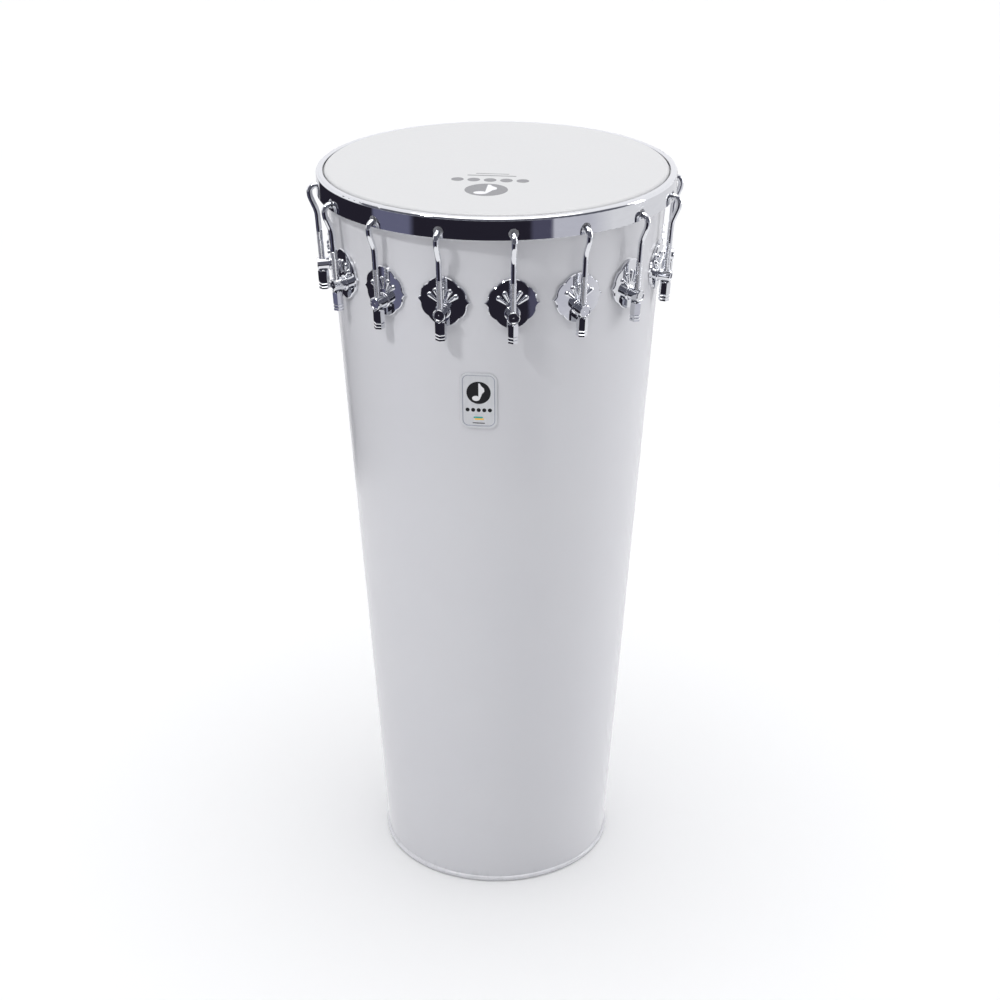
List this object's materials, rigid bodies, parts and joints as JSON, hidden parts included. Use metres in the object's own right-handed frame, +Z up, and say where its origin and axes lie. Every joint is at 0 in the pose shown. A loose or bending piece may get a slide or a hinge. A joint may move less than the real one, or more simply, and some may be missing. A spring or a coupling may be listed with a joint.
{
  "type": "timbal hand drum",
  "caption": "Tall tapered open-bottomed hand drum with a white shell, film head, flanged counter-hoop, J hooks, scalloped lugs and long tuning nuts.",
  "frame": {"origin": "centre of the base, on the plane that the bottom bead stands on", "axes": "+Z up along the drum's axis, -Y towards the badge"},
  "size_m": [0.3846, 0.3846, 0.8],
  "materials": {
    "white_shell": "gloss white paint on aluminium sheet",
    "drum_film": "satin white polyester film",
    "chrome_hoop": "polished chrome",
    "chrome_lug": "polished chrome on die casting",
    "chrome_hardware": "polished chrome",
    "steel_wire": "plain drawn wire",
    "flesh_hoop_aluminium": "satin",
    "resin": "cast resin",
    "zinc_steel": "bright zinc plate",
    "badge_metal": "satin printed metal"
  },
  "bodies": {
    "shell": {"shell": "white_shell", "base_edge_wire": "steel_wire", "bearing_edge_wire": "steel_wire", "head_film": "drum_film", "lug_01": "chrome_lug", "lug_02": "chrome_lug", "lug_03": "chrome_lug", "lug_04": "chrome_lug", "lug_05": "chrome_lug", "lug_06": "chrome_lug", "lug_07": "chrome_lug", "lug_08": "chrome_lug", "lug_09": "chrome_lug", "lug_10": "chrome_lug", "lug_11": "chrome_lug", "lug_12": "chrome_lug", "lug_13": "chrome_lug", "lug_14": "chrome_lug", "lug_15": "chrome_lug", "lug_16": "chrome_lug", "lug_screws": "zinc_steel", "lug_washers": "zinc_steel", "nut_washers": "chrome_hardware", "badge": "badge_metal"},
    "hoop": {"counter_hoop": "chrome_hoop", "flesh_hoop": "flesh_hoop_aluminium", "head_resin": "resin"},
    "hook_01": {"hook_01": "chrome_hardware"},
    "tuning_nut_01": {"tuning_nut_01": "chrome_hardware"},
    "hook_02": {"hook_02": "chrome_hardware"},
    "tuning_nut_02": {"tuning_nut_02": "chrome_hardware"},
    "hook_03": {"hook_03": "chrome_hardware"},
    "tuning_nut_03": {"tuning_nut_03": "chrome_hardware"},
    "hook_04": {"hook_04": "chrome_hardware"},
    "tuning_nut_04": {"tuning_nut_04": "chrome_hardware"},
    "hook_05": {"hook_05": "chrome_hardware"},
    "tuning_nut_05": {"tuning_nut_05": "chrome_hardware"},
    "hook_06": {"hook_06": "chrome_hardware"},
    "tuning_nut_06": {"tuning_nut_06": "chrome_hardware"},
    "hook_07": {"hook_07": "chrome_hardware"},
    "tuning_nut_07": {"tuning_nut_07": "chrome_hardware"},
    "hook_08": {"hook_08": "chrome_hardware"},
    "tuning_nut_08": {"tuning_nut_08": "chrome_hardware"},
    "hook_09": {"hook_09": "chrome_hardware"},
    "tuning_nut_09": {"tuning_nut_09": "chrome_hardware"},
    "hook_10": {"hook_10": "chrome_hardware"},
    "tuning_nut_10": {"tuning_nut_10": "chrome_hardware"},
    "hook_11": {"hook_11": "chrome_hardware"},
    "tuning_nut_11": {"tuning_nut_11": "chrome_hardware"},
    "hook_12": {"hook_12": "chrome_hardware"},
    "tuning_nut_12": {"tuning_nut_12": "chrome_hardware"},
    "hook_13": {"hook_13": "chrome_hardware"},
    "tuning_nut_13": {"tuning_nut_13": "chrome_hardware"},
    "hook_14": {"hook_14": "chrome_hardware"},
    "tuning_nut_14": {"tuning_nut_14": "chrome_hardware"},
    "hook_15": {"hook_15": "chrome_hardware"},
    "tuning_nut_15": {"tuning_nut_15": "chrome_hardware"},
    "hook_16": {"hook_16": "chrome_hardware"},
    "tuning_nut_16": {"tuning_nut_16": "chrome_hardware"}
  },
  "joints": [
    {"name": "tuning_nut_01_turn", "type": "hinge", "parent": "shell", "child": "tuning_nut_01", "pos_m": [0.03569, -0.17944, 0.7083], "axis": [0.0121, -0.0611, 0.9981], "range_deg": [-866.5, 2742]},
    {"name": "hook_01_slide", "type": "slide", "parent": "shell", "child": "hook_01", "axis": [0.0121, -0.0611, 0.9981], "range_m": [-0.0077, 0.0025]},
    {"name": "tuning_nut_02_turn", "type": "hinge", "parent": "shell", "child": "tuning_nut_02", "pos_m": [0.10164, -0.15212, 0.7083], "axis": [0.0346, -0.0518, 0.9981], "range_deg": [-866.5, 2742]},
    {"name": "hook_02_slide", "type": "slide", "parent": "shell", "child": "hook_02", "axis": [0.0346, -0.0518, 0.9981], "range_m": [-0.0077, 0.0025]},
    {"name": "tuning_nut_03_turn", "type": "hinge", "parent": "shell", "child": "tuning_nut_03", "pos_m": [0.15212, -0.10164, 0.7083], "axis": [0.0518, -0.0346, 0.9981], "range_deg": [-866.5, 2742]},
    {"name": "hook_03_slide", "type": "slide", "parent": "shell", "child": "hook_03", "axis": [0.0518, -0.0346, 0.9981], "range_m": [-0.0077, 0.0025]},
    {"name": "tuning_nut_04_turn", "type": "hinge", "parent": "shell", "child": "tuning_nut_04", "pos_m": [0.17944, -0.03569, 0.7083], "axis": [0.0611, -0.0121, 0.9981], "range_deg": [-866.5, 2742]},
    {"name": "hook_04_slide", "type": "slide", "parent": "shell", "child": "hook_04", "axis": [0.0611, -0.0121, 0.9981], "range_m": [-0.0077, 0.0025]},
    {"name": "tuning_nut_05_turn", "type": "hinge", "parent": "shell", "child": "tuning_nut_05", "pos_m": [0.17944, 0.03569, 0.7083], "axis": [0.0611, 0.0121, 0.9981], "range_deg": [-866.5, 2742]},
    {"name": "hook_05_slide", "type": "slide", "parent": "shell", "child": "hook_05", "axis": [0.0611, 0.0121, 0.9981], "range_m": [-0.0077, 0.0025]},
    {"name": "tuning_nut_06_turn", "type": "hinge", "parent": "shell", "child": "tuning_nut_06", "pos_m": [0.15212, 0.10164, 0.7083], "axis": [0.0518, 0.0346, 0.9981], "range_deg": [-866.5, 2742]},
    {"name": "hook_06_slide", "type": "slide", "parent": "shell", "child": "hook_06", "axis": [0.0518, 0.0346, 0.9981], "range_m": [-0.0077, 0.0025]},
    {"name": "tuning_nut_07_turn", "type": "hinge", "parent": "shell", "child": "tuning_nut_07", "pos_m": [0.10164, 0.15212, 0.7083], "axis": [0.0346, 0.0518, 0.9981], "range_deg": [-866.5, 2742]},
    {"name": "hook_07_slide", "type": "slide", "parent": "shell", "child": "hook_07", "axis": [0.0346, 0.0518, 0.9981], "range_m": [-0.0077, 0.0025]},
    {"name": "tuning_nut_08_turn", "type": "hinge", "parent": "shell", "child": "tuning_nut_08", "pos_m": [0.03569, 0.17944, 0.7083], "axis": [0.0121, 0.0611, 0.9981], "range_deg": [-866.5, 2742]},
    {"name": "hook_08_slide", "type": "slide", "parent": "shell", "child": "hook_08", "axis": [0.0121, 0.0611, 0.9981], "range_m": [-0.0077, 0.0025]},
    {"name": "tuning_nut_09_turn", "type": "hinge", "parent": "shell", "child": "tuning_nut_09", "pos_m": [-0.03569, 0.17944, 0.7083], "axis": [-0.0121, 0.0611, 0.9981], "range_deg": [-866.5, 2742]},
    {"name": "hook_09_slide", "type": "slide", "parent": "shell", "child": "hook_09", "axis": [-0.0121, 0.0611, 0.9981], "range_m": [-0.0077, 0.0025]},
    {"name": "tuning_nut_10_turn", "type": "hinge", "parent": "shell", "child": "tuning_nut_10", "pos_m": [-0.10164, 0.15212, 0.7083], "axis": [-0.0346, 0.0518, 0.9981], "range_deg": [-866.5, 2742]},
    {"name": "hook_10_slide", "type": "slide", "parent": "shell", "child": "hook_10", "axis": [-0.0346, 0.0518, 0.9981], "range_m": [-0.0077, 0.0025]},
    {"name": "tuning_nut_11_turn", "type": "hinge", "parent": "shell", "child": "tuning_nut_11", "pos_m": [-0.15212, 0.10164, 0.7083], "axis": [-0.0518, 0.0346, 0.9981], "range_deg": [-866.5, 2742]},
    {"name": "hook_11_slide", "type": "slide", "parent": "shell", "child": "hook_11", "axis": [-0.0518, 0.0346, 0.9981], "range_m": [-0.0077, 0.0025]},
    {"name": "tuning_nut_12_turn", "type": "hinge", "parent": "shell", "child": "tuning_nut_12", "pos_m": [-0.17944, 0.03569, 0.7083], "axis": [-0.0611, 0.0121, 0.9981], "range_deg": [-866.5, 2742]},
    {"name": "hook_12_slide", "type": "slide", "parent": "shell", "child": "hook_12", "axis": [-0.0611, 0.0121, 0.9981], "range_m": [-0.0077, 0.0025]},
    {"name": "tuning_nut_13_turn", "type": "hinge", "parent": "shell", "child": "tuning_nut_13", "pos_m": [-0.17944, -0.03569, 0.7083], "axis": [-0.0611, -0.0121, 0.9981], "range_deg": [-866.5, 2742]},
    {"name": "hook_13_slide", "type": "slide", "parent": "shell", "child": "hook_13", "axis": [-0.0611, -0.0121, 0.9981], "range_m": [-0.0077, 0.0025]},
    {"name": "tuning_nut_14_turn", "type": "hinge", "parent": "shell", "child": "tuning_nut_14", "pos_m": [-0.15212, -0.10164, 0.7083], "axis": [-0.0518, -0.0346, 0.9981], "range_deg": [-866.5, 2742]},
    {"name": "hook_14_slide", "type": "slide", "parent": "shell", "child": "hook_14", "axis": [-0.0518, -0.0346, 0.9981], "range_m": [-0.0077, 0.0025]},
    {"name": "tuning_nut_15_turn", "type": "hinge", "parent": "shell", "child": "tuning_nut_15", "pos_m": [-0.10164, -0.15212, 0.7083], "axis": [-0.0346, -0.0518, 0.9981], "range_deg": [-866.5, 2742]},
    {"name": "hook_15_slide", "type": "slide", "parent": "shell", "child": "hook_15", "axis": [-0.0346, -0.0518, 0.9981], "range_m": [-0.0077, 0.0025]},
    {"name": "tuning_nut_16_turn", "type": "hinge", "parent": "shell", "child": "tuning_nut_16", "pos_m": [-0.03569, -0.17944, 0.7083], "axis": [-0.0121, -0.0611, 0.9981], "range_deg": [-866.5, 2742]},
    {"name": "hook_16_slide", "type": "slide", "parent": "shell", "child": "hook_16", "axis": [-0.0121, -0.0611, 0.9981], "range_m": [-0.0077, 0.0025]},
    {"name": "hoop_slide", "type": "slide", "parent": "shell", "child": "hoop", "axis": [0, 0, 1], "range_m": [-0.0076, 0.0024], "deforming": ["head_film"]}
  ],
  "couplings": [
    {"joint": "tuning_nut_01_turn", "follows": "hoop_slide", "rad_per_m": -6295.4},
    {"joint": "hook_01_slide", "follows": "hoop_slide", "ratio": 1.0019},
    {"joint": "tuning_nut_02_turn", "follows": "hoop_slide", "rad_per_m": -6295.4},
    {"joint": "hook_02_slide", "follows": "hoop_slide", "ratio": 1.0019},
    {"joint": "tuning_nut_03_turn", "follows": "hoop_slide", "rad_per_m": -6295.4},
    {"joint": "hook_03_slide", "follows": "hoop_slide", "ratio": 1.0019},
    {"joint": "tuning_nut_04_turn", "follows": "hoop_slide", "rad_per_m": -6295.4},
    {"joint": "hook_04_slide", "follows": "hoop_slide", "ratio": 1.0019},
    {"joint": "tuning_nut_05_turn", "follows": "hoop_slide", "rad_per_m": -6295.4},
    {"joint": "hook_05_slide", "follows": "hoop_slide", "ratio": 1.0019},
    {"joint": "tuning_nut_06_turn", "follows": "hoop_slide", "rad_per_m": -6295.4},
    {"joint": "hook_06_slide", "follows": "hoop_slide", "ratio": 1.0019},
    {"joint": "tuning_nut_07_turn", "follows": "hoop_slide", "rad_per_m": -6295.4},
    {"joint": "hook_07_slide", "follows": "hoop_slide", "ratio": 1.0019},
    {"joint": "tuning_nut_08_turn", "follows": "hoop_slide", "rad_per_m": -6295.4},
    {"joint": "hook_08_slide", "follows": "hoop_slide", "ratio": 1.0019},
    {"joint": "tuning_nut_09_turn", "follows": "hoop_slide", "rad_per_m": -6295.4},
    {"joint": "hook_09_slide", "follows": "hoop_slide", "ratio": 1.0019},
    {"joint": "tuning_nut_10_turn", "follows": "hoop_slide", "rad_per_m": -6295.4},
    {"joint": "hook_10_slide", "follows": "hoop_slide", "ratio": 1.0019},
    {"joint": "tuning_nut_11_turn", "follows": "hoop_slide", "rad_per_m": -6295.4},
    {"joint": "hook_11_slide", "follows": "hoop_slide", "ratio": 1.0019},
    {"joint": "tuning_nut_12_turn", "follows": "hoop_slide", "rad_per_m": -6295.4},
    {"joint": "hook_12_slide", "follows": "hoop_slide", "ratio": 1.0019},
    {"joint": "tuning_nut_13_turn", "follows": "hoop_slide", "rad_per_m": -6295.4},
    {"joint": "hook_13_slide", "follows": "hoop_slide", "ratio": 1.0019},
    {"joint": "tuning_nut_14_turn", "follows": "hoop_slide", "rad_per_m": -6295.4},
    {"joint": "hook_14_slide", "follows": "hoop_slide", "ratio": 1.0019},
    {"joint": "tuning_nut_15_turn", "follows": "hoop_slide", "rad_per_m": -6295.4},
    {"joint": "hook_15_slide", "follows": "hoop_slide", "ratio": 1.0019},
    {"joint": "tuning_nut_16_turn", "follows": "hoop_slide", "rad_per_m": -6295.4},
    {"joint": "hook_16_slide", "follows": "hoop_slide", "ratio": 1.0019}
  ]
}
